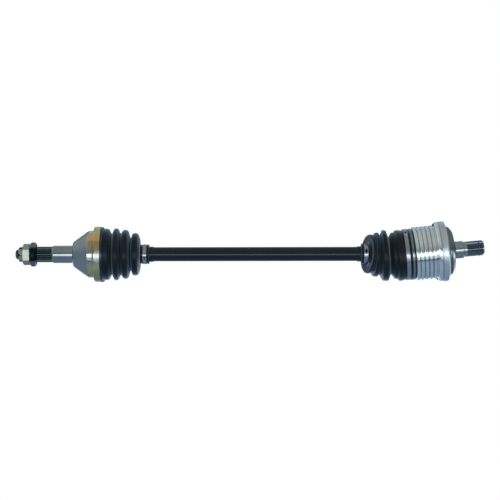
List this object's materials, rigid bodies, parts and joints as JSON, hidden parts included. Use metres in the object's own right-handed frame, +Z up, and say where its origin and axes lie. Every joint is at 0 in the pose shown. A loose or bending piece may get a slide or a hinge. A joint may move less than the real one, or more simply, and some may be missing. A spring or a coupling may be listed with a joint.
{
  "type": "cv axle",
  "caption": "Splined drive axle with a fixed ball joint at the wheel end, a plunging ball joint at the gearbox end, rubber boots, castle nut and washer.",
  "frame": {"origin": "middle of the plain bar, on its axis", "axes": "+X along the bar from the wheel end to the gearbox end, +Z up, the gearbox joint bent up by 5.3 degrees"},
  "size_m": [0.7632, 0.0976, 0.0991],
  "materials": {
    "bar_black": "gloss black enamel",
    "forged_bell": "machined steel, zinc tinted rim",
    "ribbed_cup": "turned steel, bright",
    "zinc_nut": "yellow-green zinc plate",
    "washer_black": "black oxide",
    "boot_rubber": "moulded rubber, satin",
    "clamp_black": "black coated band",
    "clamp_steel": "bright stainless band",
    "race_steel": "ground bearing steel",
    "ball_chrome": "polished",
    "spring_wire": "blued spring steel"
  },
  "bodies": {
    "shaft": {"drive_shaft": "bar_black", "outer_inner_race": "race_steel", "outer_race_clip": "spring_wire", "outer_boot_clamp_small": "clamp_steel", "inner_boot_clamp_small": "clamp_steel", "inner_inner_race": "race_steel", "inner_race_clip": "spring_wire"},
    "outer_top_ball": {"outer_ball_top": "ball_chrome"},
    "outer_cage": {"outer_cage": "race_steel", "outer_side_balls": "ball_chrome"},
    "outer_bottom_ball": {"outer_ball_bottom": "ball_chrome"},
    "wheel_stub": {"outer_housing": "forged_bell", "outer_boot": "boot_rubber", "outer_boot_clamp_large": "clamp_black"},
    "wheel_nut": {"axle_nut": "zinc_nut", "axle_washer": "washer_black"},
    "inner_top_ball": {"inner_ball_top": "ball_chrome"},
    "inner_cage": {"inner_cage": "race_steel", "inner_side_balls": "ball_chrome"},
    "inner_bottom_ball": {"inner_ball_bottom": "ball_chrome"},
    "inner_boot": {"inner_boot": "boot_rubber"},
    "gearbox_cup": {"inner_housing": "ribbed_cup", "inner_stop_ring": "spring_wire", "inner_boot_clamp_large": "clamp_steel", "gearbox_stub_clip": "spring_wire"}
  },
  "joints": [
    {"name": "outer_pitch_half", "type": "hinge", "parent": "shaft", "child": "outer_top_ball", "pos_m": [-0.259, 0, 0], "axis": [0, 1, 0], "range_deg": [-15, 15], "deforming": ["outer_boot"]},
    {"name": "outer_yaw_half", "type": "hinge", "parent": "outer_top_ball", "child": "outer_cage", "pos_m": [-0.259, 0, 0], "axis": [0, 0, 1], "range_deg": [-15, 15]},
    {"name": "outer_yaw_rest", "type": "hinge", "parent": "outer_cage", "child": "outer_bottom_ball", "pos_m": [-0.259, 0, 0], "axis": [0, 0, 1], "range_deg": [-15, 15]},
    {"name": "outer_pitch_rest", "type": "hinge", "parent": "outer_bottom_ball", "child": "wheel_stub", "pos_m": [-0.259, 0, 0], "axis": [0, 1, 0], "range_deg": [-15, 15]},
    {"name": "nut_removal", "type": "slide", "parent": "wheel_stub", "child": "wheel_nut", "axis": [-1, 0, 0], "range_m": [0, 0.1]},
    {"name": "inner_pitch_half", "type": "hinge", "parent": "shaft", "child": "inner_top_ball", "pos_m": [0.2632, 0, 0], "axis": [0, 1, 0], "range_deg": [-4.85, 10.15], "deforming": ["inner_boot"]},
    {"name": "inner_yaw_half", "type": "hinge", "parent": "inner_top_ball", "child": "inner_cage", "pos_m": [0.2632, 0, 0], "axis": [-0.0462, 0, 0.9989], "range_deg": [-7.5, 7.5]},
    {"name": "inner_yaw_rest", "type": "hinge", "parent": "inner_cage", "child": "inner_bottom_ball", "pos_m": [0.2632, 0, 0], "axis": [-0.0462, 0, 0.9989], "range_deg": [-7.5, 7.5]},
    {"name": "inner_pitch_rest", "type": "hinge", "parent": "inner_bottom_ball", "child": "inner_boot", "pos_m": [0.2632, 0, 0], "axis": [0, 1, 0], "range_deg": [-4.85, 10.15]},
    {"name": "inner_plunge", "type": "slide", "parent": "inner_boot", "child": "gearbox_cup", "axis": [0.9957, 0, 0.0924], "range_m": [-0.011, 0.007]}
  ],
  "couplings": [
    {"joint": "outer_pitch_rest", "follows": "outer_pitch_half", "ratio": 1},
    {"joint": "outer_yaw_rest", "follows": "outer_yaw_half", "ratio": 1},
    {"joint": "inner_pitch_rest", "follows": "inner_pitch_half", "ratio": 1},
    {"joint": "inner_yaw_rest", "follows": "inner_yaw_half", "ratio": 1}
  ]
}
